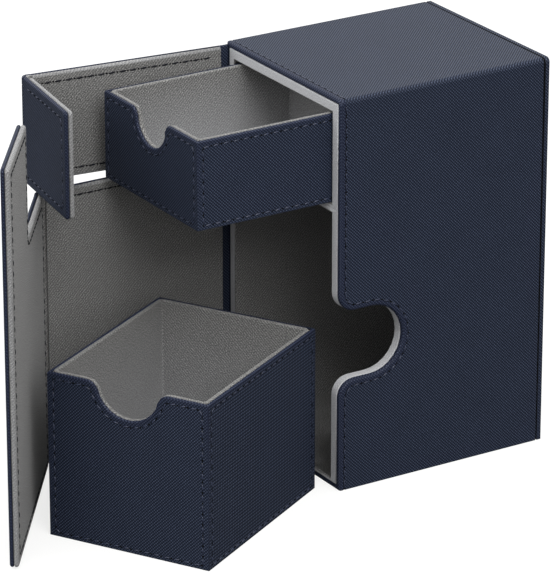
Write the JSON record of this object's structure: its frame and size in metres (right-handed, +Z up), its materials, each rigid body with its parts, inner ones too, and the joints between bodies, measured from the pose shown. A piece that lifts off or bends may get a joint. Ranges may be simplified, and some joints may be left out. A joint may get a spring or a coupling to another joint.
{
  "type": "card storage box",
  "caption": "Upright leather-covered card box standing open: wrap-round magnetic doors, a pull-out drawer above, and a lower compartment whose card tray stands in front.",
  "frame": {"origin": "middle of the case's underside, on the surface it stands on", "axes": "+Z up; the case opens towards -Y; +X is to the right as one faces the open front, and both doors hinge on the left front edge"},
  "size_m": [0.1071, 0.2015, 0.136],
  "materials": {
    "navy_leather": "navy cross-grain imitation leather, satin",
    "grey_lining": "grey suede-finish lining cloth, matte",
    "grey_board": "grey bookbinding board, matte",
    "magnet": "nickel-plated disc"
  },
  "bodies": {
    "case": {"case_leather": "navy_leather", "case_bottom_board": "grey_board", "case_top_board": "grey_board", "case_left_board": "grey_board", "case_right_board": "grey_board", "case_back_board": "grey_board", "shelf_board": "grey_board", "wall_magnet_upper": "magnet", "wall_magnet_lower": "magnet", "wall_magnet_back": "magnet", "upper_compartment_lining": "grey_lining", "lower_compartment_lining": "grey_lining"},
    "upper_door": {"upper_door_leather": "navy_leather", "upper_door_lining": "grey_lining", "upper_door_board": "grey_board", "upper_door_fold": "navy_leather"},
    "upper_flap": {"upper_flap_leather": "navy_leather", "upper_flap_lining": "grey_lining", "upper_flap_board": "grey_board", "upper_flap_magnet": "magnet", "upper_flap_fold": "navy_leather"},
    "lower_door": {"lower_door_leather": "navy_leather", "lower_door_lining": "grey_lining", "lower_door_board": "grey_board", "lower_door_fold": "navy_leather"},
    "lower_flap": {"lower_flap_leather": "navy_leather", "lower_flap_lining": "grey_lining", "lower_flap_board": "grey_board", "lower_flap_magnet": "magnet", "lower_flap_strip_magnet": "magnet", "lower_flap_fold": "navy_leather"},
    "drawer": {"drawer_leather": "navy_leather", "drawer_lining": "grey_lining", "drawer_front_board": "grey_board", "drawer_back_board": "grey_board", "drawer_left_board": "grey_board", "drawer_right_board": "grey_board", "drawer_floor_board": "grey_board"},
    "card_tray": {"card_tray_leather": "navy_leather", "card_tray_lining": "grey_lining", "card_tray_front_board": "grey_board", "card_tray_back_board": "grey_board", "card_tray_left_board": "grey_board", "card_tray_right_board": "grey_board", "card_tray_floor_board": "grey_board"}
  },
  "joints": [
    {"name": "upper_door", "type": "hinge", "parent": "case", "child": "upper_door", "pos_m": [-0.0335, -0.0418, 0], "axis": [0, 0, 1], "range_deg": [-88, 8]},
    {"name": "upper_flap", "type": "hinge", "parent": "upper_door", "child": "upper_flap", "pos_m": [-0.04158, -0.11163, 0], "axis": [0, 0, 1], "range_deg": [-88, 10]},
    {"name": "lower_door", "type": "hinge", "parent": "case", "child": "lower_door", "pos_m": [-0.0335, -0.0418, 0], "axis": [0, 0, 1], "range_deg": [-94, 2.5]},
    {"name": "lower_flap", "type": "hinge", "parent": "lower_door", "child": "lower_flap", "pos_m": [-0.03374, -0.1121, 0], "axis": [0, 0, 1], "range_deg": [-54, 4]},
    {"name": "drawer_slide", "type": "slide", "parent": "case", "child": "drawer", "axis": [0, 1, 0], "range_m": [-0.014, 0.0506]},
    {"name": "card_tray_slide", "type": "slide", "parent": "case", "child": "card_tray", "axis": [-0.5, 0.866, 0], "range_m": [-0.012, 0.004]}
  ]
}
